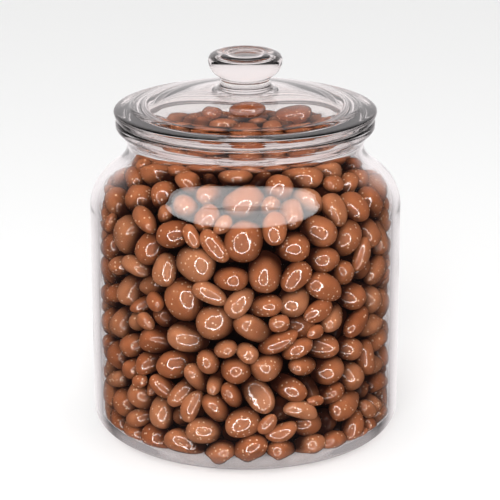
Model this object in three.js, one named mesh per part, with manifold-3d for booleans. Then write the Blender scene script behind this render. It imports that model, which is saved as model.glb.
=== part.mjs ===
// A wide glass sweet jar with a loose domed lid and a round knob, full of chocolate covered
// raisins. Millimetres, +Z up, with the origin at the centre of the jar's foot.
import * as THREE from 'three';
import { mergeVertices } from 'three/addons/utils/BufferGeometryUtils.js';
import Module from 'manifold-3d';

// ---------------------------------------------------------------- driving dimensions

const BODY_RADIUS = 87.5; // outside of the straight wall
const WALL = 4.8; // glass thickness of wall, shoulder and neck
const FLOOR = 3.2; // top of the glass floor
const FOOT_RADIUS = 70.6; // outer edge of the flat foot
const HEEL_HEIGHT = 12; // where the rounded heel meets the straight wall
const PUSH_UP_RADIUS = 58; // shallow hollow under the foot
const PUSH_UP = 0.8;
const WALL_TOP = 131; // where the shoulder starts to curve in
const SHOULDER_RISE = 26; // half axes of the shoulder's ellipse
const SHOULDER_REACH = 30;
const SHOULDER_ANGLE = 0.88; // how far round that ellipse the shoulder goes, in radians
const NECK_RADIUS = 66.2; // outside of the waist under the rim
const NECK_Z = 165.7;
const RIM_RADIUS = 72.4;
const RIM_BOTTOM = 173;
const RIM_TOP = 180;

const SEAT_GAP = 0.3; // between the rim and the lid that rests on it
const LID_RADIUS = 73.3;
const FLANGE_BULGE_Z = 184.9; // where the flange is widest
const FLANGE_TOP = 186.7;
const STEP_RADIUS = 65; // small step from the flange up to the dome
const SKIRT_OUTER = 60.6; // ring under the lid that keeps it centred in the mouth
const SKIRT_INNER = 56;
const SKIRT_BOTTOM = 172;
const DOME_EDGE_RADIUS = 61.5;
const DOME_EDGE_Z = 189;
const DOME_TOP = 197.4;
const DOME_GLASS = 4.2;
const KNOB_FOOT_RADIUS = 15.8;
const KNOB_NECK_RADIUS = 13.8;
const KNOB_NECK_Z = 203.6;
const KNOB_RADIUS = 20.6;
const KNOB_WIDEST_Z = 213;
const KNOB_TOP = 218;
const KNOB_RIM_RADIUS = 13;
const DIMPLE_RADIUS = 8.4;
const DIMPLE = 2;

const TURNS = 32; // flat sides round each glass piece
const CORE_TURNS = 20;

const PIECES = 222; // raisins that show round the heap, the larger ones of the real heap
const PIECE_LONG = [15.5, 21]; // length of a raisin, from the smallest to the largest
const PIECE_WIDE = 0.84; // its width and thickness as shares of the length
const PIECE_THICK = 0.7;
const PIECE_GAP = 0.4; // between a raisin and the glass
const LEAN = 0.5; // most that a raisin leans in its nest, side to side, in radians
const NEST_DEPTH = 8.6; // how far the heap's core lies behind the glass
const HEAP_CROWN = 176; // top of the heap in its middle and at the wall
const HEAP_EDGE = 163;
const HEAP_SLOPE = 14; // the mound is one millimetre down this far from its middle
const GOLDEN_ANGLE = Math.PI * (3 - Math.sqrt(5));

// Three large raisins stand proud on top, each on another: [x, y, length, turn about Z].
const CROWN = [
  [-19.5, -5, 14.5, 0.9],
  [1.5, -5, 21, 0.1],
  [27, -6, 21, -0.15],
];
const UNDER_LENGTH = 18; // the raisin under each, and how far below it that one lies
const UNDER_DROP = 11;

// ---------------------------------------------------------------- materials

const glass = new THREE.MeshStandardMaterial({
  name: 'glass',
  color: 0xdfe3e4,
  roughness: 0.05,
  metalness: 0,
  transparent: true,
  opacity: 0.35,
});
const chocolate = new THREE.MeshStandardMaterial({
  name: 'chocolate',
  color: 0x7d4526,
  roughness: 0.3,
  metalness: 0,
});

// ---------------------------------------------------------------- profiles, as [radius, z]

// Points along an ellipse's arc. The angle is measured from the outward radius.
function arc(r, z, a, b, from, to, steps) {
  const points = [];
  for (let i = 0; i <= steps; i++) {
    const t = from + ((to - from) * i) / steps;
    points.push([r + a * Math.cos(t), z + b * Math.sin(t)]);
  }
  return points;
}

// Points along a smooth bend from start to end that leaves and arrives towards the corner.
function bend(start, corner, end, steps) {
  const points = [];
  for (let i = 0; i <= steps; i++) {
    const t = i / steps;
    const at = (k) => (1 - t) ** 2 * start[k] + 2 * t * (1 - t) * corner[k] + t ** 2 * end[k];
    points.push([at(0), at(1)]);
  }
  return points;
}

function withoutRepeats(profile) {
  return profile.filter(
    (p, i) => i === 0 || Math.hypot(p[0] - profile[i - 1][0], p[1] - profile[i - 1][1]) > 0.01,
  );
}

function revolve(profile, turns) {
  const points = withoutRepeats(profile).map(([r, z]) => new THREE.Vector2(Math.max(r, 0), z));
  return new THREE.LatheGeometry(points, turns).rotateX(Math.PI / 2);
}

// The jar's side from heel to neck, moved in by inset millimetres of glass.
function side(inset) {
  const heelWidth = BODY_RADIUS - FOOT_RADIUS;
  const floor = inset > 0 ? FLOOR : 0;
  const heelInset = Math.min(inset, heelWidth / 2);
  const shoulderCentre = BODY_RADIUS - SHOULDER_REACH;
  const heel = arc(
    FOOT_RADIUS + heelInset / 2,
    HEEL_HEIGHT + inset / 2,
    heelWidth - heelInset / 2 - inset,
    HEEL_HEIGHT + inset / 2 - floor,
    -Math.PI / 2,
    0,
    inset > 0 ? 3 : 4,
  );
  const shoulder = arc(
    shoulderCentre,
    WALL_TOP,
    SHOULDER_REACH - inset,
    SHOULDER_RISE - inset,
    0,
    SHOULDER_ANGLE,
    4,
  );
  const start = shoulder.at(-1);
  const slope =
    ((SHOULDER_REACH - inset) / (SHOULDER_RISE - inset)) * Math.tan(SHOULDER_ANGLE);
  const neck = NECK_RADIUS - inset;
  const corner = [neck, start[1] + (start[0] - neck) / slope];
  return [...heel, ...shoulder, ...bend(start, corner, [neck, NECK_Z], 2)];
}

function jarProfile() {
  const bore = NECK_RADIUS - WALL;
  const edge = 1;
  return [
    [0, PUSH_UP],
    [PUSH_UP_RADIUS - 4, PUSH_UP],
    [PUSH_UP_RADIUS, 0],
    ...side(0),
    ...bend([NECK_RADIUS, NECK_Z], [NECK_RADIUS, 170.5], [69.2, RIM_BOTTOM], 2),
    ...bend([69.2, RIM_BOTTOM], [RIM_RADIUS, RIM_BOTTOM + 2.4], [RIM_RADIUS, 177], 2),
    [RIM_RADIUS, RIM_TOP - edge],
    [RIM_RADIUS - edge, RIM_TOP],
    [bore + edge, RIM_TOP],
    [bore, RIM_TOP - edge],
    ...side(WALL).reverse(),
    [0, FLOOR],
  ];
}

function lidProfile() {
  const seat = RIM_TOP + SEAT_GAP;
  const edge = 1.4;
  const bulge = [LID_RADIUS, FLANGE_BULGE_Z];
  const domeIn = DOME_TOP - DOME_GLASS;
  const shoulderIn = DOME_EDGE_Z - DOME_GLASS;
  return [
    [0, domeIn],
    ...bend([14, domeIn - 0.3], [38, domeIn - 1.6], [SKIRT_INNER - 4, shoulderIn], 3),
    ...bend([SKIRT_INNER - 4, shoulderIn], [SKIRT_INNER, shoulderIn - 1], [SKIRT_INNER, 181], 2),
    [SKIRT_INNER, SKIRT_BOTTOM + edge],
    [SKIRT_INNER + edge, SKIRT_BOTTOM],
    [SKIRT_OUTER - edge, SKIRT_BOTTOM],
    [SKIRT_OUTER, SKIRT_BOTTOM + edge],
    [SKIRT_OUTER, seat],
    ...bend([LID_RADIUS - 2.6, seat], [LID_RADIUS - 0.8, seat + 0.2], bulge, 2),
    ...bend(bulge, [LID_RADIUS, FLANGE_TOP - 0.3], [LID_RADIUS - 3.6, FLANGE_TOP], 2),
    [STEP_RADIUS, FLANGE_TOP + 0.4],
    ...bend([STEP_RADIUS - 1, FLANGE_TOP + 0.6], [63.4, DOME_EDGE_Z], [DOME_EDGE_RADIUS, DOME_EDGE_Z], 2),
    ...bend([DOME_EDGE_RADIUS, DOME_EDGE_Z], [38, DOME_TOP - 1.6], [KNOB_FOOT_RADIUS, DOME_TOP], 3),
    ...knobProfile(),
  ];
}

function knobProfile() {
  return [
    ...bend(
      [KNOB_FOOT_RADIUS, DOME_TOP + 0.8],
      [KNOB_NECK_RADIUS, DOME_TOP + 1.6],
      [KNOB_NECK_RADIUS, KNOB_NECK_Z],
      2,
    ),
    ...bend(
      [KNOB_NECK_RADIUS, KNOB_NECK_Z],
      [KNOB_RADIUS, KNOB_NECK_Z + 3.4],
      [KNOB_RADIUS, KNOB_WIDEST_Z],
      3,
    ),
    ...bend(
      [KNOB_RADIUS, KNOB_WIDEST_Z],
      [KNOB_RADIUS, KNOB_TOP],
      [KNOB_RIM_RADIUS, KNOB_TOP],
      3,
    ),
    [DIMPLE_RADIUS, KNOB_TOP - DIMPLE],
    [0, KNOB_TOP - DIMPLE],
  ];
}

// The radius that is free for raisins at a height. The glass is nearest at the middle of a side.
const SIDE_MIDDLE = Math.cos(Math.PI / TURNS);
const innerSide = side(WALL);
function roomRadius(z) {
  if (z > SKIRT_BOTTOM - PIECE_GAP) return SKIRT_INNER * SIDE_MIDDLE - PIECE_GAP;
  const above = innerSide.findIndex((p) => p[1] > z);
  if (above < 0) return (NECK_RADIUS - WALL) * SIDE_MIDDLE - PIECE_GAP;
  if (above === 0) return 0;
  const [low, high] = [innerSide[above - 1], innerSide[above]];
  const share = (z - low[1]) / (high[1] - low[1]);
  return (low[0] + share * (high[0] - low[0])) * SIDE_MIDDLE - PIECE_GAP;
}

// The heap's core, a smaller form of the room inside the jar with a low mound on top. The
// raisins lie on it as deep as the nest, so that they reach the glass.
function coreProfile() {
  const waist = NECK_RADIUS - WALL - NEST_DEPTH;
  const wall = BODY_RADIUS - WALL - NEST_DEPTH;
  const crown = HEAP_CROWN - NEST_DEPTH;
  return [
    [0, FLOOR + NEST_DEPTH - 1],
    [FOOT_RADIUS - 3, FLOOR + NEST_DEPTH - 1],
    [wall, HEEL_HEIGHT + NEST_DEPTH],
    [wall, WALL_TOP],
    [wall - 3, WALL_TOP + 9],
    [wall - 9, WALL_TOP + 16],
    ...bend([waist + 1, HEAP_EDGE - NEST_DEPTH], [30, crown - 2], [0, crown], 3),
  ];
}

// ---------------------------------------------------------------- solids

const wasm = await Module();
wasm.setup();

function solidOf(geometry) {
  const bare = geometry.clone();
  bare.deleteAttribute('normal');
  bare.deleteAttribute('uv');
  const merged = mergeVertices(bare, 1e-3);
  return new wasm.Manifold(
    new wasm.Mesh({
      numProp: 3,
      vertProperties: new Float32Array(merged.attributes.position.array),
      triVerts: new Uint32Array(merged.index.array),
    }),
  );
}

function geometryOf(solid) {
  const mesh = solid.getMesh();
  const geometry = new THREE.BufferGeometry();
  geometry.setAttribute('position', new THREE.BufferAttribute(mesh.vertProperties, 3));
  geometry.setIndex(new THREE.BufferAttribute(mesh.triVerts, 1));
  geometry.computeVertexNormals();
  return geometry;
}

// A fixed series of even draws from 0 to 1.
function seededDraws(seed) {
  let state = seed;
  return () => {
    state = (state * 1664525 + 1013904223) % 4294967296;
    return state / 4294967296;
  };
}

// ---------------------------------------------------------------- raisins

// One raisin as a faceted egg, swollen so that its flat faces keep the true volume. One of its
// corners points straight up before it is turned.
const FACET_SWELL = 1.09;
const UP = new THREE.Vector3(0, 0, 1);
function raisin(length, turn) {
  const egg = new THREE.IcosahedronGeometry(FACET_SWELL / 2, 0);
  const corner = new THREE.Vector3().fromBufferAttribute(egg.attributes.position, 0);
  egg.applyQuaternion(new THREE.Quaternion().setFromUnitVectors(corner.normalize(), UP));
  egg.scale(length, length * PIECE_WIDE, length * PIECE_THICK);
  return egg.applyQuaternion(turn);
}

// The corners of an egg's facets and the middles of their edges.
function surfacePoints(egg) {
  const corners = egg.attributes.position;
  const points = [];
  for (let i = 0; i < corners.count; i++) {
    const here = new THREE.Vector3().fromBufferAttribute(corners, i);
    const next = new THREE.Vector3().fromBufferAttribute(corners, i % 3 === 2 ? i - 2 : i + 1);
    points.push(here, next.add(here).multiplyScalar(0.5));
  }
  return points;
}

// Moves a raisin in until all of it is clear of the glass.
function keepClear(egg) {
  for (let round = 0; round < 6; round++) {
    let lift = 0;
    const pull = new THREE.Vector3();
    for (const point of surfacePoints(egg)) {
      lift = Math.max(lift, FLOOR + PIECE_GAP - point.z);
      const excess = Math.hypot(point.x, point.y) - roomRadius(Math.max(point.z, FLOOR + PIECE_GAP));
      if (excess > pull.length()) pull.set(-point.x, -point.y, 0).setLength(excess);
    }
    egg.translate(pull.x, pull.y, lift);
  }
  return egg;
}

// Points spread evenly by area over the core, each with the direction that faces out there.
function placesOn(profile, count) {
  const legs = profile.slice(1).map((end, i) => {
    const start = profile[i];
    const length = Math.hypot(end[0] - start[0], end[1] - start[1]);
    return { start, end, length, area: (length * (start[0] + end[0])) / 2 };
  });
  const whole = legs.reduce((sum, leg) => sum + leg.area, 0);
  const places = [];
  for (let i = 0; i < count; i++) {
    let left = ((i + 0.5) / count) * whole;
    const leg = legs.find((l) => (left -= l.area) <= 0) ?? legs.at(-1);
    const share = THREE.MathUtils.clamp(1 + left / leg.area, 0, 1);
    const [r0, r1] = [leg.start[0], leg.end[0]];
    const along = Math.abs(r1 - r0) < 0.01
      ? share
      : (Math.sqrt(r0 ** 2 + share * (r1 ** 2 - r0 ** 2)) - r0) / (r1 - r0);
    const radius = r0 + along * (r1 - r0);
    const z = leg.start[1] + along * (leg.end[1] - leg.start[1]);
    const around = i * GOLDEN_ANGLE;
    const out = [(leg.end[1] - leg.start[1]) / leg.length, -(r1 - r0) / leg.length];
    places.push({
      at: new THREE.Vector3(radius * Math.cos(around), radius * Math.sin(around), z),
      out: new THREE.Vector3(out[0] * Math.cos(around), out[0] * Math.sin(around), out[1]),
    });
  }
  return places;
}

function raisinHeap() {
  const draw = seededDraws(7);
  let heap = solidOf(revolve(coreProfile(), CORE_TURNS));
  const sink = (egg) => {
    heap = heap.add(solidOf(egg));
  };
  for (const { at, out } of placesOn(coreProfile(), PIECES)) {
    const length = THREE.MathUtils.lerp(...PIECE_LONG, draw() ** 1.5);
    const tilt = new THREE.Quaternion().setFromEuler(
      new THREE.Euler((draw() - 0.5) * LEAN, (draw() - 0.5) * LEAN, draw() * 2 * Math.PI),
    );
    const turn = new THREE.Quaternion().setFromUnitVectors(UP, out).multiply(tilt);
    const egg = raisin(length, turn);
    const centre = at.clone().addScaledVector(out, NEST_DEPTH - (length * PIECE_THICK) / 2 + 0.5);
    sink(keepClear(egg.translate(centre.x, centre.y, centre.z)));
  }
  for (const [x, y, length, about] of CROWN) {
    const turn = new THREE.Quaternion().setFromAxisAngle(UP, about);
    const lift = HEAP_CROWN - (Math.hypot(x, y) / HEAP_SLOPE) ** 2 + length * 0.22;
    sink(raisin(length, turn).translate(x, y, lift));
    sink(raisin(UNDER_LENGTH, turn).translate(x, y, lift - UNDER_DROP));
  }
  return geometryOf(heap);
}

// ---------------------------------------------------------------- the object

function named(name, geometry, material) {
  const mesh = new THREE.Mesh(geometry, material);
  mesh.name = name;
  return mesh;
}

const sweetJar = new THREE.Group();
sweetJar.add(named('jar', revolve(jarProfile(), TURNS), glass));
sweetJar.add(named('lid', revolve(lidProfile(), TURNS), glass));
sweetJar.add(named('raisins', raisinHeap(), chocolate));

export default sweetJar;
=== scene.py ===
"""A wide glass sweet jar with a loose domed lid and a round knob, full of chocolate covered
raisins. Shapes are worked out in millimetres and made in metres, +Z up, with the origin at the
centre of the jar's foot."""
import math

import bpy
import numpy as np
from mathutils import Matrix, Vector


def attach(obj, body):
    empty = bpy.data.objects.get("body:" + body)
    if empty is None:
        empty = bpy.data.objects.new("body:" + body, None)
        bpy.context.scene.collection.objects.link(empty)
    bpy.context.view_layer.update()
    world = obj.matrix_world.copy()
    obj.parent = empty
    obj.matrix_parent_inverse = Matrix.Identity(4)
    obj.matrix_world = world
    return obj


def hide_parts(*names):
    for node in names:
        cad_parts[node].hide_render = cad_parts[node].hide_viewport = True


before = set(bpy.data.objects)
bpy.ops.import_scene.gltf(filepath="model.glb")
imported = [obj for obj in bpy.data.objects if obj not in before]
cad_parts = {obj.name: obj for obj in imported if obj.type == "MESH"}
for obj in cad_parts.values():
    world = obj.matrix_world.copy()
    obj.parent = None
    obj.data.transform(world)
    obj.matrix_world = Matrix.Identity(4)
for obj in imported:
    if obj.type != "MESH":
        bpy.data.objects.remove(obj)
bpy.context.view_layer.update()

MM = 0.001
SEED = 11

# ---------------------------------------------------------------- driving dimensions, mm

BODY_RADIUS = 87.5  # outside of the straight wall
WALL = 4.8  # glass thickness of wall, shoulder and neck
FLOOR = 3.2  # top of the glass floor
FOOT_RADIUS = 70.6  # outer edge of the flat foot
HEEL_HEIGHT = 12  # where the rounded heel meets the straight wall
PUSH_UP_RADIUS = 58  # shallow hollow under the foot
PUSH_UP = 0.8
WALL_TOP = 131  # where the shoulder starts to curve in
SHOULDER_RISE = 26  # half axes of the shoulder's ellipse
SHOULDER_REACH = 30
SHOULDER_ANGLE = 0.88  # how far round that ellipse the shoulder goes, in radians
NECK_RADIUS = 66.2  # outside of the waist under the rim
NECK_Z = 165.7
RIM_RADIUS = 72.4
RIM_BOTTOM = 173
RIM_UNDER_RADIUS = 69.2  # where the waist's curve turns up into the rim's side
RIM_SIDE_Z = 177  # where the rim's side is upright
RIM_TOP = 180
RIM_EDGE = 1.6  # rounding of the rim's top

SEAT_GAP = 0.3  # between the rim and the lid that rests on it
LID_RADIUS = 73.3
FLANGE_BULGE_Z = 184.9  # where the flange is widest
FLANGE_TOP = 186.7
STEP_RADIUS = 65  # small step from the flange up to the dome
SKIRT_OUTER = 60.6  # ring under the lid that keeps it centred in the mouth
SKIRT_INNER = 56
SKIRT_BOTTOM = 172
SKIRT_TOP = 181  # where its inside bends over to the dome
SKIRT_EDGE = 1.4
DOME_EDGE_RADIUS = 61.5
DOME_EDGE_Z = 189
DOME_TOP = 197.4
DOME_GLASS = 4.2
DOME_BEND_RADIUS = 38  # the dome is pulled to this radius, this far below its top
DOME_BEND_DROP = 1.6
KNOB_FOOT_RADIUS = 15.8
KNOB_NECK_RADIUS = 13.8
KNOB_NECK_Z = 203.6
KNOB_RADIUS = 20.6
KNOB_WIDEST_Z = 213
KNOB_TOP = 218
KNOB_RIM_RADIUS = 13
DIMPLE_RADIUS = 8.4
DIMPLE = 2

GLASS_TURNS = 192  # sides round each glass piece
CORE_TURNS = 48

# Outline of the dark middle of the heap, a body painted near black as shade, which the raisins lie
# round, as [radius, z].
CORE = [[0, 22], [54, 22], [61, 26], [64, 38], [64, 129], [53, 142], [45, 151], [39, 155], [0, 159]]
HEAP_CROWN = 176  # top of the heap in its middle and at the wall
HEAP_EDGE = 163

# ---------------------------------------------------------------- camera

CAMERA_DISTANCE = 1200
CAMERA_RISE = math.radians(18)
CAMERA_TARGET_Z = 102.6
CAMERA_ASIDE = 2.6
CAMERA_LENS = 151.9
CAMERA_SENSOR = 36
CAMERA_REACH = 100  # in metres


def add_camera():
    camera = bpy.data.objects.new("camera", bpy.data.cameras.new("camera"))
    camera.data.lens = CAMERA_LENS
    camera.data.sensor_width = CAMERA_SENSOR
    target = Vector((CAMERA_ASIDE, 0, CAMERA_TARGET_Z)) * MM
    back = Vector((0, -math.cos(CAMERA_RISE), math.sin(CAMERA_RISE)))
    camera.location = target + back * CAMERA_DISTANCE * MM
    camera.rotation_euler = (-back).to_track_quat("-Z", "Y").to_euler()
    camera.data.clip_end = CAMERA_REACH
    bpy.context.scene.collection.objects.link(camera)
    bpy.context.scene.camera = camera


# ---------------------------------------------------------------- materials

GLASS_IOR = 1.5
CHOCOLATE_IOR = 1.5
JAR_TINT = (0.985, 0.965, 0.965)
LID_TINT = (0.955, 0.915, 0.905)
JAR_WAVES = (18, 0.25)  # waves in a metre of glass, and their height in mm
LID_WAVES = (22, 0.35)

CHOCOLATE = [(0.2, (0.235, 0.064, 0.022)), (0.7, (0.380, 0.127, 0.050)), (1.0, (0.450, 0.180, 0.082))]
CLOUDS = 130  # waves in a metre of the chocolate's uneven shade, and how strong they are
CLOUD_STRENGTH = 0.5
SPECK_COLOUR = (0.80, 0.52, 0.32, 1)
SPECKS = 370  # cells in a metre, each with a speck
SPECK_EDGE = (0.14, 0.23)  # a speck fades out between these shares of a cell
SPECK_STRENGTH = 0.90
# near black colour of the painted shadow on raisins that lie deep between others
PAINTED_SHADOW_COLOUR = (0.012, 0.002, 0.001, 1)
PAINTED_SHADOW_DEPTH = (0.8, 7.5)  # mm under the heap's skin where the painted shadow starts, and where it is deepest
PAINTED_SHADOW_STRENGTH = 0.97
SHINE_DEPTH = (2.0, 6.5)  # mm under it where the shine starts to fade, and where it is faint
SHINE = (0.5, 0.03)
SMEARS = 420  # waves in a metre of the uneven polish
SMEAR_RANGE = (0.3, 0.75)  # lowest and highest waves, and the roughness at each
POLISH = (0.03, 0.10)
DENTS = 230  # waves in a metre of the shallow dents, and their depth in mm
DENT_DEPTH = 0.26
SPECK_PIT = -0.5  # height of a speck as a share of that depth

# near black colours of the painted shade in the heap's middle
CORE_SHADOW_COLOURS = [(0.3, (0.004, 0.001, 0.001)), (0.8, (0.012, 0.004, 0.002))]
FLOOR_SHADES = [(0.3, (0.86, 0.86, 0.86)), (0.8, (0.90, 0.90, 0.90))]


def set_inputs(tree, node, inputs):
    """Sets inputs, by name or number, to a value or to another node's output."""
    for key, value in inputs.items():
        if isinstance(value, bpy.types.NodeSocket):
            tree.links.new(value, node.inputs[key])
        else:
            node.inputs[key].default_value = value


def add_node(tree, kind, inputs=None, **settings):
    node = tree.nodes.new(kind)
    for key, value in settings.items():
        setattr(node, key, value)
    set_inputs(tree, node, inputs or {})
    return node


def maths(tree, operation, *values):
    node = add_node(tree, "ShaderNodeMath", dict(enumerate(values)), operation=operation)
    return node.outputs["Value"]


def vector_maths(tree, operation, *values):
    return add_node(tree, "ShaderNodeVectorMath", dict(enumerate(values)), operation=operation)


def map_range(tree, value, span, result, **settings):
    """The value carried over from the span to the result, and held at the ends of both."""
    inputs = {0: value, 1: span[0], 2: span[1], 3: result[0], 4: result[1]}
    return add_node(tree, "ShaderNodeMapRange", inputs, **settings).outputs["Result"]


def noise(tree, scale, detail, place=None):
    inputs = {"Scale": scale, "Detail": detail}
    if place:
        inputs["Vector"] = place
    return add_node(tree, "ShaderNodeTexNoise", inputs).outputs["Fac"]


def ramp(tree, value, stops):
    """Colours that run from stop to stop, each a place and a colour."""
    node = add_node(tree, "ShaderNodeValToRGB", {"Fac": value})
    elements = node.color_ramp.elements
    while len(elements) < len(stops):
        elements.new(0.5)
    for element, (place, colour) in zip(elements, stops):
        element.position = place
        element.color = (*colour, 1)
    return node.outputs["Color"]


def mix_colours(tree, factor, first, second):
    node = add_node(tree, "ShaderNodeMix", {0: factor, 6: first, 7: second}, data_type="RGBA")
    return node.outputs[2]


def mix_numbers(tree, factor, first, second):
    node = add_node(tree, "ShaderNodeMix", {0: factor, 2: first, 3: second}, data_type="FLOAT")
    return node.outputs[0]


def mix_shaders(tree, factor, first, second):
    return add_node(tree, "ShaderNodeMixShader", {"Fac": factor, 1: first, 2: second}).outputs["Shader"]


def bump(tree, height, most):
    """A surface normal for relief that is at most this many millimetres high."""
    inputs = {"Height": height, "Strength": 1.0, "Distance": most * MM}
    return add_node(tree, "ShaderNodeBump", inputs).outputs["Normal"]


def new_material(name):
    material = bpy.data.materials.new(name)
    material.use_nodes = True
    tree = material.node_tree
    return material, tree, tree.nodes["Principled BSDF"]


def glass_material(name, tint, wave_scale, wave_height):
    """Clear pressed glass with slow waves in its surface. Only light that the eye sees sharply,
    straight or through mirrors and lenses, is bent by it. All softer light passes straight on."""
    material, tree, shader = new_material(name)
    place = add_node(tree, "ShaderNodeTexCoord").outputs["Object"]
    waves = noise(tree, wave_scale, 1, place)
    set_inputs(tree, shader, {
        "Base Color": (*tint, 1),
        "Roughness": 0.0,
        "IOR": GLASS_IOR,
        "Transmission Weight": 1.0,
        "Normal": bump(tree, waves, wave_height),
    })
    clear = add_node(tree, "ShaderNodeBsdfTransparent", {"Color": (*tint, 1)})
    path = add_node(tree, "ShaderNodeLightPath").outputs
    sharp = maths(tree, "MAXIMUM", path["Is Camera Ray"], path["Is Singular Ray"])
    surface = mix_shaders(tree, sharp, clear.outputs["BSDF"], shader.outputs["BSDF"])
    tree.links.new(surface, tree.nodes["Material Output"].inputs["Surface"])
    return material


def chocolate_material():
    """Polished milk chocolate with pale specks and shallow dents. Each raisin has its own shade,
    kept in the attribute tone, and the attribute depth paints shadow on the parts that lie deep
    between others and dulls their shine."""
    material, tree, shader = new_material("milk_chocolate")
    place = add_node(tree, "ShaderNodeTexCoord").outputs["Object"]
    tone = add_node(tree, "ShaderNodeAttribute", attribute_name="tone").outputs["Fac"]
    depth = add_node(tree, "ShaderNodeAttribute", attribute_name="depth").outputs["Fac"]

    shade = maths(tree, "MULTIPLY_ADD", noise(tree, CLOUDS, 3, place), CLOUD_STRENGTH, tone)
    cells = add_node(tree, "ShaderNodeTexVoronoi", {"Vector": place, "Scale": SPECKS})
    specks = map_range(tree, cells.outputs["Distance"], SPECK_EDGE, (SPECK_STRENGTH, 0))
    # Painted shadow: the colour turns near black where the chocolate lies deep between other raisins.
    painted_shadow = map_range(tree, depth, PAINTED_SHADOW_DEPTH, (0, PAINTED_SHADOW_STRENGTH), interpolation_type="SMOOTHSTEP")
    speckled = mix_colours(tree, specks, ramp(tree, shade, CHOCOLATE), SPECK_COLOUR)

    polish = map_range(tree, noise(tree, SMEARS, 2, place), SMEAR_RANGE, POLISH)
    relief = maths(tree, "MULTIPLY_ADD", specks, SPECK_PIT, noise(tree, DENTS, 1, place))
    set_inputs(tree, shader, {
        "Base Color": mix_colours(tree, painted_shadow, speckled, PAINTED_SHADOW_COLOUR),
        "Roughness": polish,
        "IOR": CHOCOLATE_IOR,
        "Specular IOR Level": map_range(tree, depth, SHINE_DEPTH, SHINE),
        "Normal": bump(tree, relief, DENT_DEPTH),
    })
    return material


def core_material():
    """Near black painted shade that stands for the dark depth between the raisins."""
    material, tree, shader = new_material("heap_shadow")
    set_inputs(tree, shader, {
        "Base Color": ramp(tree, noise(tree, 90, 4), CORE_SHADOW_COLOURS),
        "Roughness": 0.9,
        "Specular IOR Level": 0.0,
    })
    return material


def floor_material():
    """Pale matt floor, which is left out of mirror images so that the jar's wall stays clear."""
    material, tree, shader = new_material("pale_floor")
    set_inputs(tree, shader, {
        "Base Color": ramp(tree, noise(tree, 3, 2), FLOOR_SHADES),
        "Roughness": 0.7,
        "Specular IOR Level": 0.1,
    })
    path = add_node(tree, "ShaderNodeLightPath").outputs
    mirrored = maths(tree, "GREATER_THAN", path["Glossy Depth"], 0.5)
    clear = add_node(tree, "ShaderNodeBsdfTransparent")
    surface = mix_shaders(tree, mirrored, shader.outputs["BSDF"], clear.outputs["BSDF"])
    tree.links.new(surface, tree.nodes["Material Output"].inputs["Surface"])
    return material


# ---------------------------------------------------------------- outlines, as [radius, z]


def arc(r, z, reach, rise, start, end, steps):
    """Points along the arc of an ellipse about [r, z], from one angle up from its outward half
    axis to another."""
    t = np.linspace(start, end, steps + 1)
    return np.column_stack([r + reach * np.cos(t), z + rise * np.sin(t)])


def bend(start, corner, end, steps):
    """A smooth bend from start to end that leaves and arrives towards the corner."""
    t = np.linspace(0, 1, steps + 1)[:, None]
    start, corner, end = map(np.array, (start, corner, end))
    return (1 - t) ** 2 * start + 2 * t * (1 - t) * corner + t**2 * end


def fillet(before, corner, after, radius, steps=4):
    """The corner between two straight legs, rounded with about this radius."""
    before, corner, after = (np.array(p, float) for p in (before, corner, after))
    into = (before - corner) / np.linalg.norm(before - corner)
    away = (after - corner) / np.linalg.norm(after - corner)
    return bend(corner + into * radius, corner, corner + away * radius, steps)


def side(inset):
    """The jar's side from heel to neck, moved in by inset millimetres of glass."""
    heel_width = BODY_RADIUS - FOOT_RADIUS
    floor = FLOOR if inset > 0 else 0
    heel_inset = min(inset, heel_width / 2)
    low = HEEL_HEIGHT + inset / 2
    heel = arc(
        FOOT_RADIUS + heel_inset / 2, low, heel_width - heel_inset / 2 - inset, low - floor,
        -math.pi / 2, 0, 14,
    )
    reach, rise = SHOULDER_REACH - inset, SHOULDER_RISE - inset
    shoulder = arc(BODY_RADIUS - SHOULDER_REACH, WALL_TOP, reach, rise, 0, SHOULDER_ANGLE, 18)
    start = shoulder[-1]
    neck = NECK_RADIUS - inset
    corner = [neck, start[1] + (start[0] - neck) / (reach / rise * math.tan(SHOULDER_ANGLE))]
    return np.vstack([heel, shoulder, bend(start, corner, [neck, NECK_Z], 12)])


def jar_outline():
    bore = NECK_RADIUS - WALL
    under, upright = [RIM_UNDER_RADIUS, RIM_BOTTOM], [RIM_RADIUS, RIM_SIDE_Z]
    outer, inner = [RIM_RADIUS, RIM_TOP], [bore, RIM_TOP]
    rim = [
        bend([NECK_RADIUS, NECK_Z], [NECK_RADIUS, RIM_BOTTOM - 2.5], under, 6),
        bend(under, [RIM_RADIUS, RIM_BOTTOM + 2.4], upright, 6),
        fillet(upright, outer, inner, RIM_EDGE, 6),
        fillet(outer, inner, [bore, NECK_Z], RIM_EDGE, 6),
    ]
    foot = [
        [[0, PUSH_UP], [PUSH_UP_RADIUS - 8, PUSH_UP]],
        bend([PUSH_UP_RADIUS - 4, PUSH_UP], [PUSH_UP_RADIUS - 1, PUSH_UP], [PUSH_UP_RADIUS, 0], 4),
    ]
    return np.vstack([*foot, side(0), *rim, side(WALL)[::-1], [[0, FLOOR]]])


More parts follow.
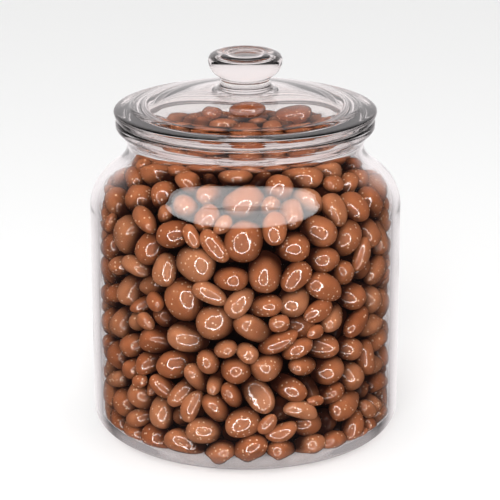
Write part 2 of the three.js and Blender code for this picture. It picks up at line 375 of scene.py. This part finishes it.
def knob_outline():
    foot = [KNOB_FOOT_RADIUS, DOME_TOP + 0.8]
    neck = [KNOB_NECK_RADIUS, KNOB_NECK_Z]
    widest = [KNOB_RADIUS, KNOB_WIDEST_Z]
    rim = [KNOB_RIM_RADIUS, KNOB_TOP]
    dimple_edge = [DIMPLE_RADIUS + 1, KNOB_TOP - 1.6]
    dimple_z = KNOB_TOP - DIMPLE
    return [
        bend(foot, [KNOB_NECK_RADIUS, DOME_TOP + 1.6], neck, 8),
        bend(neck, [KNOB_RADIUS, KNOB_NECK_Z + 3.4], widest, 12),
        bend(widest, [KNOB_RADIUS, KNOB_TOP], rim, 12),
        bend(rim, [KNOB_RIM_RADIUS - 2.4, KNOB_TOP], dimple_edge, 6),
        bend(dimple_edge, [DIMPLE_RADIUS, dimple_z], [DIMPLE_RADIUS - 2, dimple_z], 4),
        [[0, dimple_z]],
    ]


def lid_outline():
    seat = RIM_TOP + SEAT_GAP
    dome_in = DOME_TOP - DOME_GLASS
    edge_in = DOME_EDGE_Z - DOME_GLASS
    shell = SKIRT_INNER - 4
    inner_top, inner_foot = [SKIRT_INNER, SKIRT_TOP], [SKIRT_INNER, SKIRT_BOTTOM]
    outer_foot, outer_top = [SKIRT_OUTER, SKIRT_BOTTOM], [SKIRT_OUTER, seat]
    skirt = [
        bend([shell, edge_in], [SKIRT_INNER, edge_in - 1], inner_top, 6),
        fillet(inner_top, inner_foot, outer_foot, SKIRT_EDGE),
        fillet(inner_foot, outer_foot, outer_top, SKIRT_EDGE),
        fillet(outer_foot, outer_top, [LID_RADIUS, seat], 0.6, 3),
    ]
    bulge = [LID_RADIUS, FLANGE_BULGE_Z]
    dome_edge = [DOME_EDGE_RADIUS, DOME_EDGE_Z]
    flange = [
        bend([LID_RADIUS - 2.6, seat], [LID_RADIUS - 0.8, seat + 0.2], bulge, 8),
        bend(bulge, [LID_RADIUS, FLANGE_TOP - 0.3], [LID_RADIUS - 3.6, FLANGE_TOP], 8),
        [[STEP_RADIUS + 0.6, FLANGE_TOP + 0.4]],
        bend([STEP_RADIUS, FLANGE_TOP + 0.5], [STEP_RADIUS - 1.6, DOME_EDGE_Z], dome_edge, 6),
    ]
    return np.vstack([
        [[0, dome_in]],
        bend([14, dome_in - 0.3], [DOME_BEND_RADIUS, dome_in - DOME_BEND_DROP], [shell, edge_in], 12),
        *skirt,
        *flange,
        bend(dome_edge, [DOME_BEND_RADIUS, DOME_TOP - DOME_BEND_DROP], [KNOB_FOOT_RADIUS, DOME_TOP], 12),
        *knob_outline(),
    ])


def room_outline():
    """The room for raisins, inside the jar and up to the heap's rounded top."""
    wall = side(WALL)
    wall = wall[wall[:, 1] < HEAP_EDGE]
    edge = [wall[-1, 0], HEAP_EDGE]
    return np.vstack([[[0, FLOOR]], wall, bend(edge, [30, HEAP_CROWN - 2], [0, HEAP_CROWN], 10)])


# ---------------------------------------------------------------- meshes

LEAST_STEP = 0.02  # points of an outline that are nearer to each other count as one


def mesh_object(name, corners, faces, material, attributes=()):
    """An object from corners in millimetres and faces that all have the same number of sides,
    or a list of such face arrays. Attributes hold one number for each corner."""
    groups = faces if isinstance(faces, list) else [faces]
    mesh = bpy.data.meshes.new(name)
    loops = np.concatenate([g.ravel() for g in groups])
    totals = np.concatenate([np.full(len(g), g.shape[1]) for g in groups])
    mesh.vertices.add(len(corners))
    mesh.vertices.foreach_set("co", (corners * MM).astype(np.float32).ravel())
    mesh.loops.add(len(loops))
    mesh.loops.foreach_set("vertex_index", loops.astype(np.int32))
    mesh.polygons.add(len(totals))
    starts = np.concatenate([[0], np.cumsum(totals)[:-1]])
    mesh.polygons.foreach_set("loop_start", starts.astype(np.int32))
    for key, values in dict(attributes).items():
        layer = mesh.attributes.new(key, "FLOAT", "POINT")
        layer.data.foreach_set("value", values.astype(np.float32))
    mesh.update(calc_edges=True)
    mesh.validate()
    mesh.shade_smooth()
    mesh.materials.append(material)
    piece = bpy.data.objects.new(name, mesh)
    bpy.context.scene.collection.objects.link(piece)
    return piece


def lathe(name, outline, material, turns=GLASS_TURNS):
    """A closed body of revolution. The outline starts and ends on the axis."""
    steps = np.linalg.norm(np.diff(outline, axis=0), axis=1)
    ring = outline[np.concatenate([[True], steps > LEAST_STEP])][1:-1]
    around = np.arange(turns) * 2 * math.pi / turns
    circle = np.stack([np.cos(around), np.sin(around)], 1)
    rings = np.concatenate([
        ring[:, None, :1] * circle[None],
        np.broadcast_to(ring[:, None, 1:], (len(ring), turns, 1)),
    ], axis=2).reshape(-1, 3)
    ends = np.array([[0, 0, outline[0, 1]], [0, 0, outline[-1, 1]]])
    corners = np.vstack([rings, ends])
    here, after = np.arange(turns), (np.arange(turns) + 1) % turns
    rows = (np.arange(len(ring) - 1) * turns)[:, None]
    walls = np.stack([rows + here, rows + after, rows + turns + after, rows + turns + here], 2)
    last = (len(ring) - 1) * turns
    first_cap = np.stack([after, here, np.full(turns, len(rings))], 1)
    last_cap = np.stack([last + here, last + after, np.full(turns, len(rings) + 1)], 1)
    return mesh_object(name, corners, [walls.reshape(-1, 4), first_cap, last_cap], material)


# ---------------------------------------------------------------- raisins: sizes and shapes

# Each kind: its share of the heap, its length in mm (smallest, largest), its width as a share of
# its length, its thickness as a share of its width, and how much it tapers, bends and is lumpy.
KINDS = {
    "round_raisins": dict(share=0.15, long=(15.5, 24.5), wide=(0.86, 0.98), thick=(0.80, 0.92),
                          taper=0.06, bow=0.02, lumps=0.028, flat=0.0),
    "oval_raisins": dict(share=0.20, long=(17, 28), wide=(0.74, 0.86), thick=(0.78, 0.92),
                         taper=0.10, bow=0.04, lumps=0.030, flat=0.15),
    "egg_raisins": dict(share=0.20, long=(17, 28), wide=(0.62, 0.74), thick=(0.80, 0.94),
                        taper=0.20, bow=0.06, lumps=0.030, flat=0.0),
    "long_raisins": dict(share=0.22, long=(17, 27.5), wide=(0.46, 0.58), thick=(0.84, 0.96),
                         taper=0.12, bow=0.20, lumps=0.032, flat=0.0),
    "lumpy_raisins": dict(share=0.11, long=(17, 29), wide=(0.68, 0.88), thick=(0.74, 0.88),
                          taper=0.16, bow=0.10, lumps=0.055, flat=0.5),
    "small_raisins": dict(share=0.12, long=(10, 16), wide=(0.60, 0.92), thick=(0.78, 0.92),
                          taper=0.14, bow=0.08, lumps=0.036, flat=0.1),
}
RAISINS = 515
SHORTER = 0.6  # the usual raisin is this much shorter than the middle of its kind's range
TONE = (0.5, 0.16)  # middle and spread of the raisins' shades
FACET_ROWS = 7  # rows of small triangles along each edge of the icosahedron
FULLNESS = (2.0, 2.4)  # 2 is an ellipsoid, and more is squarer
# Waves over each raisin: how many, how tight (least, most) and how high as a share of its radius.
# The first are the lumps, as high as its kind says.
WAVES = [(4, 1.2, 2.6, None), (5, 3.5, 6.0, 0.013), (6, 7.0, 11.0, 0.004)]
KNOBS_PER_LUMP = 4  # a kind's lumps times this is the share of its raisins that have a knob
KNOB_HEIGHT = (0.05, 0.16)
KNOB_SPREAD = 0.09
FLAT_FROM = 0.78  # a flattened side starts this far out, and loses this share of what is beyond
FLAT_SHARE = 0.7
BOW_MIDDLE = 0.35  # keeps a bowed raisin about its own middle
GLASS_GAP = 0.15  # between a raisin and the glass it leans on
GLASS_ROUNDS = 4  # times that each raisin is moved off the glass
DEEPEST = 20  # greatest depth that is told apart, mm
SHRINK = 0.935  # the raisins are drawn a little smaller than they were packed

TOP_RAISINS = [  # x, y, length, height and turn of three that stand proud on top
    (-18.5, -5, 13.5, 12.5, 0.9),
    (1.2, -5, 22, 15.5, 0.1),
    (27, -6, 22.5, 15, -0.15),
]
TOP_TILT = (0.12, -0.08)  # about x and y, in radians
TOP_WIDTH = 0.8  # share of their length
TOP_LIFT = 0.36  # their middle stands this share of their height over the mound
TOP_BAND = 2  # raisins with their middle above this far under the crown are of one dark tone
TOP_TONE = 0.1
HEAP_SLOPE = 14  # the mound is one millimetre down this far from its middle


def geodesic(rows):
    """A unit ball of small, nearly equal triangles."""
    golden = (1 + math.sqrt(5)) / 2
    tips = np.array([
        (x, y, 0) for x in (-1, 1) for y in (-golden, golden)
    ] + [
        (0, x, y) for x in (-1, 1) for y in (-golden, golden)
    ] + [
        (y, 0, x) for x in (-1, 1) for y in (-golden, golden)
    ], float)
    near = np.linalg.norm(tips[:, None] - tips[None], axis=2)
    next_to = np.abs(near - 2) < 1e-6
    index, corners, faces = {}, [], []

    def corner(point):
        key = tuple(np.round(point / np.linalg.norm(point), 5) + 0.0)
        if key not in index:
            index[key] = len(corners)
            corners.append(point / np.linalg.norm(point))
        return index[key]

    for i in range(12):
        for j in range(i + 1, 12):
            for k in range(j + 1, 12):
                if not (next_to[i, j] and next_to[j, k] and next_to[i, k]):
                    continue
                a, b, c = tips[i], tips[j], tips[k]
                if np.dot(np.cross(b - a, c - a), a) < 0:
                    b, c = c, b
                grid = {
                    (p, q): corner(a + (b - a) * p / rows + (c - a) * q / rows)
                    for p in range(rows + 1) for q in range(rows + 1 - p)
                }
                for p in range(rows):
                    for q in range(rows - p):
                        faces.append((grid[p, q], grid[p + 1, q], grid[p, q + 1]))
                        if p + q < rows - 1:
                            faces.append((grid[p + 1, q], grid[p + 1, q + 1], grid[p, q + 1]))
    return np.array(corners), np.array(faces)


def unit_vectors(rng, *shape):
    v = rng.normal(size=(*shape, 3))
    return v / np.linalg.norm(v, axis=-1, keepdims=True)


def draw_raisins(rng):
    """Half sizes (long, wide, thick) of every raisin and the name of its kind."""
    half, kinds = [], []
    for name, kind in KINDS.items():
        count = round(RAISINS * kind["share"])
        shortest, longest = kind["long"]
        usual = (shortest + longest) / 2 - SHORTER
        long = rng.triangular(shortest, usual, longest, count)
        wide = long * rng.uniform(*kind["wide"], count)
        thick = wide * rng.uniform(*kind["thick"], count)
        half.append(np.stack([long, wide, thick], 1) / 2)
        kinds += [name] * count
    return np.vstack(half), np.array(kinds)


def raisin_shapes(rng, half, kind, ball):
    """The corners of each raisin about its own middle, long axis along x."""
    count = len(half)
    swell = np.ones((count, len(ball)))
    for waves, slow, fast, height in WAVES:
        pull = unit_vectors(rng, count, waves) * rng.uniform(slow, fast, (count, waves, 1))
        phase = rng.uniform(0, 2 * math.pi, (count, waves))
        size = rng.uniform(0.3, 1.0, (count, waves)) * (height or kind["lumps"])
        wave = np.cos(np.einsum("vk,nwk->nvw", ball, pull) + phase[:, None])
        swell += np.einsum("nvw,nw->nv", wave, size)
    knob_at = unit_vectors(rng, count)
    has_knob = rng.random(count) < kind["lumps"] * KNOBS_PER_LUMP
    knob = np.where(has_knob, rng.uniform(*KNOB_HEIGHT, count), 0)
    swell += knob[:, None] * np.exp((np.einsum("vk,nk->nv", ball, knob_at) - 1) / KNOB_SPREAD)
    fullness = rng.uniform(*FULLNESS, (count, 1, 1))
    full = (np.abs(ball[None]) ** fullness).sum(2) ** (-1 / fullness[:, :, 0])
    shape = ball[None] * (swell * full)[:, :, None]
    facing = unit_vectors(rng, count)
    beyond = np.maximum(np.einsum("nvk,nk->nv", shape, facing) - FLAT_FROM, 0)
    flatten = np.where(rng.random(count) < kind["flat"], FLAT_SHARE, 0.0)
    shape -= (beyond * flatten[:, None])[:, :, None] * facing[:, None]
    x = shape[:, :, 0].copy()
    taper = 1 + rng.uniform(-1, 1, (count, 1)) * kind["taper"] * x
    shape[:, :, 1] *= taper
    shape[:, :, 2] *= taper
    bow = rng.uniform(-1, 1, (count, 1)) * kind["bow"] * half[:, :1] / half[:, 1:2]
    shape[:, :, 1] += bow * (x**2 - BOW_MIDDLE)
    return shape * half[:, None, :] * SHRINK


# ---------------------------------------------------------------- raisins: pouring them in


class Room:
    """How far a point is from the glass and from the heap's core, looked up by radius and height."""

    STEP = 0.5
    LOW = -5
    HIGH = 205
    WIDE = 95
    BRIM = 1.001  # keeps a look-up inside the last cell of the tables

    def __init__(self):
        radii = np.arange(0, self.WIDE, self.STEP)
        heights = np.arange(self.LOW, self.HIGH, self.STEP)
        r, z = np.meshgrid(radii, heights, indexing="ij")
        points = np.stack([r.ravel(), z.ravel()], 1)
        skin = self.depth_in(room_outline(), points).reshape(r.shape)
        core = -self.depth_in(np.array(CORE, float), points).reshape(r.shape)
        self.skin = [skin, *np.gradient(skin, self.STEP)]
        self.free = [np.minimum(skin, core), *np.gradient(np.minimum(skin, core), self.STEP)]

    @staticmethod
    def depth_in(outline, points):
        """How deep each point [radius, z] is inside the body with this outline."""
        nearest = np.full(len(points), 1e9)
        inside = np.zeros(len(points), bool)
        for start, end in zip(outline[:-1], outline[1:]):
            leg = end - start
            if leg @ leg < 1e-9:
                continue
            along = np.clip((points - start) @ leg / (leg @ leg), 0, 1)
            nearest = np.minimum(nearest, np.hypot(*(points - start - along[:, None] * leg).T))
            if abs(leg[1]) > 1e-9:
                crosses = (start[1] > points[:, 1]) != (end[1] > points[:, 1])
                at = start[0] + (points[:, 1] - start[1]) / leg[1] * leg[0]
                inside ^= crosses & (points[:, 0] < at)
        return np.where(inside, nearest, -nearest)

    def look(self, points, tables):
        """The distance in the tables at each point, and the direction in which it grows."""
        rho = np.hypot(points[:, 0], points[:, 1])
        i = np.clip(rho / self.STEP, 0, tables[0].shape[0] - self.BRIM)
        j = np.clip((points[:, 2] - self.LOW) / self.STEP, 0, tables[0].shape[1] - self.BRIM)
        i0, j0 = i.astype(int), j.astype(int)
        u, v = i - i0, j - j0

        def at(grid):
            low = (1 - u) * grid[i0, j0] + u * grid[i0 + 1, j0]
            high = (1 - u) * grid[i0, j0 + 1] + u * grid[i0 + 1, j0 + 1]
            return (1 - v) * low + v * high

        distance, out, up = map(at, tables)
        away = np.stack([out * points[:, 0], out * points[:, 1], up * rho], 1)
        return distance, away / np.maximum(np.linalg.norm(away, axis=1), 1e-6)[:, None]


def turned_by(vectors):
    """Rotation matrices for turns given as axis times angle."""
    angle = np.linalg.norm(vectors, axis=1)
    x, y, z = (vectors / np.maximum(angle, 1e-9)[:, None]).T
    zero = np.zeros_like(x)
    cross = np.stack([
        np.stack([zero, -z, y], 1), np.stack([z, zero, -x], 1), np.stack([-y, x, zero], 1),
    ], 1)
    sine, cosine = np.sin(angle)[:, None, None], np.cos(angle)[:, None, None]
    return np.eye(3) + sine * cross + (1 - cosine) * (cross @ cross)


MIDDLE_BALL = 1.02  # radii of the balls that stand for a raisin, as shares of its half thickness
TIP_BALL = 0.8
FLANK_BALL = 0.92


def balls_of(half):
    """Five balls that stand for each raisin: three along it and one at each flank."""
    a, b, c = half.T
    tip, flank, zero = TIP_BALL * c, FLANK_BALL * c, np.zeros(len(c))
    places = np.stack([
        np.stack([zero, zero, zero], 1),
        np.stack([a - tip, zero, zero], 1),
        np.stack([tip - a, zero, zero], 1),
        np.stack([zero, b - flank, zero], 1),
        np.stack([zero, flank - b, zero], 1),
    ], 1)
    return places, np.stack([MIDDLE_BALL * c, tip, tip, flank, flank], 1)


POUR_STEPS = 340
GROWING_STEPS = 150  # they start at about half size and grow to full size while they settle
START_SIZE = 0.55
START_TRIES = 8  # places drawn for each raisin, of which the first that are clear are used
START_CLEAR = 4
FALL = 0.01  # how far they sink in a step, mm, on top of the least
LEAST_FALL = 0.002
SLOWING = 2.5  # one over the share of the steps, at the end, in which they sink ever less
SLOWING_POWER = 1.5
EASE = 0.42  # share of each overlap that a step takes away
EASE_OF_TURNING = 7.5
MOST_PUSH = 2.5  # in a step, mm
MOST_SPIN = 0.25  # in a step, radians
PAIR_STEPS = 6  # steps between two searches for neighbours
PAIR_MARGIN = 2.2
PAIR_BLOCK = 256  # raisins searched at once


def close_pairs(centres, reach, balls, radii, count):
    """Pairs of balls of different raisins that are near each other, with count balls a raisin."""
    first, second = [], []
    for low in range(0, len(centres), PAIR_BLOCK):
        block = slice(low, low + PAIR_BLOCK)
        apart = ((centres[block, None] - centres[None]) ** 2).sum(2)
        limit = (reach[block, None] + reach[None] + PAIR_MARGIN) ** 2
        i, j = np.nonzero(apart < limit)
        keep = i + low < j
        first.append(i[keep] + low)
        second.append(j[keep])
    first, second = np.concatenate(first), np.concatenate(second)
    i, j = np.divmod(np.arange(count * count), count)
    a = (first[:, None] * count + i).ravel()
    b = (second[:, None] * count + j).ravel()
    gap = np.linalg.norm(balls[a] - balls[b], axis=1) - radii[a] - radii[b]
    return a[gap < PAIR_MARGIN], b[gap < PAIR_MARGIN]


def total_of(who, parts, count, most):
    """The parts added up for each of the raisins, eased, and no longer than most."""
    total = np.stack([np.bincount(who, parts[:, k], count) for k in range(3)], 1) * EASE
    return total * np.minimum(1, most / np.maximum(np.linalg.norm(total, axis=1), 1e-9))[:, None]


def pour(rng, half, room):
    """Packs the raisins into the room. Each step lets them sink, then eases overlaps apart."""
    count = len(half)
    places, radii = balls_of(half)
    per_raisin = places.shape[1]
    owner = np.repeat(np.arange(count), per_raisin)
    turning = EASE_OF_TURNING / (half**2).sum(1)
    low = np.array([-BODY_RADIUS, -BODY_RADIUS, FLOOR])
    high = np.array([BODY_RADIUS, BODY_RADIUS, HEAP_CROWN])
    tries = rng.uniform(low, high, (count * START_TRIES, 3))
    centres = tries[room.look(tries, room.free)[0] > START_CLEAR][:count]
    turns = turned_by(unit_vectors(rng, count) * rng.uniform(0, math.pi, (count, 1)))
    for step in range(POUR_STEPS):
        size = min(1, START_SIZE + (1 - START_SIZE) * step / GROWING_STEPS)
        sinking = min(1, SLOWING * (1 - step / POUR_STEPS)) ** SLOWING_POWER
        centres[:, 2] -= FALL * sinking + LEAST_FALL
        lever = np.einsum("nij,nkj->nki", turns, places * size).reshape(-1, 3)
        balls = centres[owner] + lever
        r = radii.ravel() * size
        if step % PAIR_STEPS == 0:
            a_all, b_all = close_pairs(centres, half[:, 0] * size, balls, r, per_raisin)
        gap = balls[b_all] - balls[a_all]
        distance = np.sqrt((gap**2).sum(1))
        overlap = r[a_all] + r[b_all] - distance
        hit = overlap > 0
        a, b, overlap = a_all[hit], b_all[hit], overlap[hit]
        normal = gap[hit] / np.maximum(distance[hit], 1e-6)[:, None]
        twist_a, twist_b = np.cross(lever[a], normal), np.cross(lever[b], normal)
        of_a, of_b = owner[a], owner[b]
        yielding = (
            2 + turning[of_a] * (twist_a**2).sum(1) + turning[of_b] * (twist_b**2).sum(1)
        )
        share = (overlap / yielding)[:, None]
        free, away = room.look(balls, room.free)
        wall = r > free
        of_w, normal_w = owner[wall], away[wall]
        twist_w = np.cross(lever[wall], normal_w)
        share_w = ((r - free)[wall] / (1 + turning[of_w] * (twist_w**2).sum(1)))[:, None]
        who = np.concatenate([of_a, of_b, of_w])
        pushes = np.concatenate([-normal * share, normal * share, normal_w * share_w])
        spins = np.concatenate([-twist_a * share, twist_b * share, twist_w * share_w])
        spins *= turning[who][:, None]
        centres += total_of(who, pushes, count, MOST_PUSH)
        turns = turned_by(total_of(who, spins, count, MOST_SPIN)) @ turns
    return centres, turns


def clear_of_skin(corners, centres, room):
    """Moves raisins that touch the glass off it, and gives each corner's depth in the heap."""
    each = np.arange(len(corners))
    for _ in range(GLASS_ROUNDS):
        depth, away = room.look(corners.reshape(-1, 3), room.skin)
        depth = depth.reshape(corners.shape[:2])
        deepest = depth.argmin(1)
        short = np.maximum(GLASS_GAP - depth[each, deepest], 0)
        short[centres[:, 2] > HEAP_CROWN] = 0
        corners = corners + (away.reshape(corners.shape)[each, deepest] * short[:, None])[:, None]
    return corners, np.clip(depth, 0, DEEPEST)


def with_top_raisins(half, kinds, centres, turns):
    """The poured raisins and the three that stand proud on the mound."""
    for x, y, long, high, about in TOP_RAISINS:
        mound = HEAP_CROWN - (math.hypot(x, y) / HEAP_SLOPE) ** 2
        half = np.vstack([half, np.array([long, long * TOP_WIDTH, high]) / 2])
        kinds = np.append(kinds, "oval_raisins")
        centres = np.vstack([centres, [x, y, mound + high * TOP_LIFT]])
        turns = np.concatenate([turns, turned_by(np.array([[*TOP_TILT, about]]))])
    return half, kinds, centres, turns


def add_raisins(material):
    """All raisins, in one object for each kind."""
    rng = np.random.default_rng(SEED)
    room = Room()
    half, kinds = draw_raisins(rng)
    centres, turns = pour(rng, half, room)
    half, kinds, centres, turns = with_top_raisins(half, kinds, centres, turns)
    ball, facets = geodesic(FACET_ROWS)
    pieces = []
    for name, kind in KINDS.items():
        mine = np.nonzero(kinds == name)[0]
        shapes = raisin_shapes(rng, half[mine], kind, ball)
        corners = np.einsum("nij,nvj->nvi", turns[mine], shapes) + centres[mine][:, None]
        corners, depth = clear_of_skin(corners, centres[mine], room)
        faces = facets[None] + (np.arange(len(mine)) * len(ball))[:, None, None]
        tone = rng.normal(*TONE, len(mine))
        tone[centres[mine][:, 2] > HEAP_CROWN - TOP_BAND] = TOP_TONE
        # depth sets the painted shadow and the dulled shine deep in the heap
        attributes = {"tone": np.repeat(tone, len(ball)), "depth": depth.ravel()}
        corners, faces = corners.reshape(-1, 3), faces.reshape(-1, 3)
        pieces.append(mesh_object(name, corners, faces, material, attributes))
    return pieces


# ---------------------------------------------------------------- floor and light

FLOOR_REACH = 12000

WORLD_SHADES = [(0.0, (0.02, 0.02, 0.02)), (0.5, (0.45, 0.42, 0.425)), (1.0, (1.0, 0.96, 0.97))]
FILL_COLOUR = (1, 0.98, 0.96, 1)
FILL = 0.08  # strength of the even light from all round

LIT_PLACE = (0, 0, 100)  # what the panels face, unless they say otherwise
PANEL_SIZE = (1000, 700)
PANELS = [  # name, place in mm, power in W and whether it lights the raisins alone
    ("key_light", (-150, -1450, 1150), 21, False),
    ("front_fill", (100, -1800, 100), 20, False),
    ("back_fill", (200, 1700, 250), 30, True),
]
RING_PLACE = (0, -1000, 100)
RING_SIZE = (1560, 1560)
RING_POWER = 235
RING_INNER = 0.88  # the ring's inner radius as a share of its outer one
RING_EDGE = 0.02  # half the width of its soft inner edge, as such a share
RING_MIDDLE = 0.02  # brightness inside it
SOFTBOX_PLACE = (-40, -340, 1050)
SOFTBOX_SIZE = (1500, 1500)
SOFTBOX_POWER = 21
SUNS = [("floor_sun", 1.1, True), ("floor_fill", 1.6, False)]  # name, strength, casts shadows
SUN_WIDTH = math.radians(70)


def add_floor():
    sides = [(-1, -1, 0), (1, -1, 0), (1, 1, 0), (-1, 1, 0)]
    corners = np.array(sides, float) * FLOOR_REACH
    floor = mesh_object("floor", corners, np.array([[0, 1, 2, 3]]), floor_material())
    floor.visible_diffuse = False
    return floor


def studio_level(tree):
    """Brightness of the studio by direction: bright before and behind the jar and greyer beside
    it where the glass bends the view, and bright only behind it where the glass mirrors it. It
    fades below the horizon and is grey again straight down."""
    place = add_node(tree, "ShaderNodeTexCoord").outputs["Generated"]
    along = add_node(tree, "ShaderNodeSeparateXYZ", {"Vector": place}).outputs
    path = add_node(tree, "ShaderNodeLightPath").outputs
    mirrored = maths(tree, "COMPARE", path["Glossy Depth"], 1, 0.5)
    ahead = mix_numbers(tree, mirrored, maths(tree, "ABSOLUTE", along["Y"]), along["Y"])
    start = map_range(tree, mirrored, (0, 1), (-0.4, 0.55))
    stop = map_range(tree, mirrored, (0, 1), (0.5, 0.95))
    level = map_range(tree, ahead, (start, stop), (0, 1), interpolation_type="SMOOTHSTEP")
    above = map_range(tree, along["Z"], (-0.8, -0.4), (0.15, 1))
    straight_down = map_range(tree, along["Z"], (-0.42, -0.6), (0, 0.42))
    return maths(tree, "MAXIMUM", maths(tree, "MULTIPLY", level, above), straight_down)


def add_world():
    """The studio where the glass shows it sharply, and a dim, even fill for all else."""
    world = bpy.data.worlds.new("studio")
    bpy.context.scene.world = world
    world.use_nodes = True
    tree = world.node_tree
    studio = tree.nodes["Background"]
    set_inputs(tree, studio, {
        "Color": ramp(tree, studio_level(tree), WORLD_SHADES),
        "Strength": 1.0,
    })
    fill = add_node(tree, "ShaderNodeBackground", {"Color": FILL_COLOUR, "Strength": FILL})
    sharp = add_node(tree, "ShaderNodeLightPath").outputs["Is Singular Ray"]
    surface = mix_shaders(tree, sharp, fill.outputs["Background"], studio.outputs["Background"])
    tree.links.new(surface, tree.nodes["World Output"].inputs["Surface"])


def add_lamp(name, kind):
    lamp = bpy.data.objects.new(name, bpy.data.lights.new(name, kind))
    bpy.context.scene.collection.objects.link(lamp)
    return lamp


def add_panel(name, place, size, power, target=LIT_PLACE, shape="RECTANGLE"):
    """A soft light panel that faces the target and isn't seen itself."""
    panel = add_lamp(name, "AREA")
    panel.data.shape = shape
    panel.data.size, panel.data.size_y = (side * MM for side in size)
    panel.data.energy = power
    panel.location = Vector(place) * MM
    facing = (Vector(target) - Vector(place)).to_track_quat("-Z", "Y")
    panel.rotation_euler = facing.to_euler()
    panel.visible_camera = False
    return panel


def collection_of(name, objects):
    group = bpy.data.collections.new(name)
    for thing in objects:
        group.objects.link(thing)
    return group


def light_only(lamp, objects):
    lamp.light_linking.receiver_collection = collection_of(lamp.name + "_receivers", objects)


def ring_nodes(lamp):
    """Leaves a disc light bright in a ring at its edge and faint in its middle."""
    lamp.use_nodes = True
    tree = lamp.node_tree
    place = add_node(tree, "ShaderNodeNewGeometry").outputs["Parametric"]
    centred = vector_maths(tree, "ADD", place, (-0.5, -0.5, 0)).outputs["Vector"]
    flat = vector_maths(tree, "MULTIPLY", centred, (2, 2, 0)).outputs["Vector"]
    radius = vector_maths(tree, "LENGTH", flat).outputs["Value"]
    edge = (RING_INNER - RING_EDGE, RING_INNER + RING_EDGE)
    set_inputs(tree, tree.nodes["Emission"], {
        "Strength": map_range(tree, radius, edge, (RING_MIDDLE, 1)),
    })


def add_lights(jar, sweets, floor):
    """A key light with fills before and behind the jar, a ring that only the raisins mirror, a
    softbox overhead that only the jar mirrors, and two wide suns for the floor, of which one
    casts shadows."""
    for name, place, power, sweets_only in PANELS:
        panel = add_panel(name, place, PANEL_SIZE, power)
        panel.visible_glossy = False
        panel.visible_transmission = False
        if sweets_only:
            light_only(panel, sweets)
    ring = add_panel("ring_light", RING_PLACE, RING_SIZE, RING_POWER, shape="DISK")
    ring_nodes(ring.data)
    ring.visible_diffuse = False
    ring.visible_transmission = False
    light_only(ring, sweets)
    ring.light_linking.blocker_collection = collection_of("ring_light_blockers", sweets)
    under_softbox = (*SOFTBOX_PLACE[:2], 0)
    softbox = add_panel("softbox", SOFTBOX_PLACE, SOFTBOX_SIZE, SOFTBOX_POWER, under_softbox, "DISK")
    softbox.visible_diffuse = False
    light_only(softbox, [jar])
    for name, strength, casts_shadow in SUNS:
        sun = add_lamp(name, "SUN")
        sun.data.angle = SUN_WIDTH
        sun.data.energy = strength
        sun.data.use_shadow = casts_shadow
        sun.visible_glossy = False
        light_only(sun, [floor])


# ---------------------------------------------------------------- the object

add_camera()
bpy.context.scene.view_settings.view_transform = "Standard"

jar = lathe("jar_glass", jar_outline(), glass_material("jar_glass", JAR_TINT, *JAR_WAVES))
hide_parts("jar")
lid = lathe("lid_glass", lid_outline(), glass_material("lid_glass", LID_TINT, *LID_WAVES))
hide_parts("lid")

raisins = add_raisins(chocolate_material())
# a near black body of painted shade in the middle of the heap
core = lathe("heap_core", np.array(CORE, float), core_material(), CORE_TURNS)
sweets = [*raisins, core]
for piece in sweets:
    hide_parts("raisins")
for piece in (jar, lid, *sweets):
    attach(piece, "root")

floor = add_floor()
add_world()
add_lights(jar, sweets, floor)
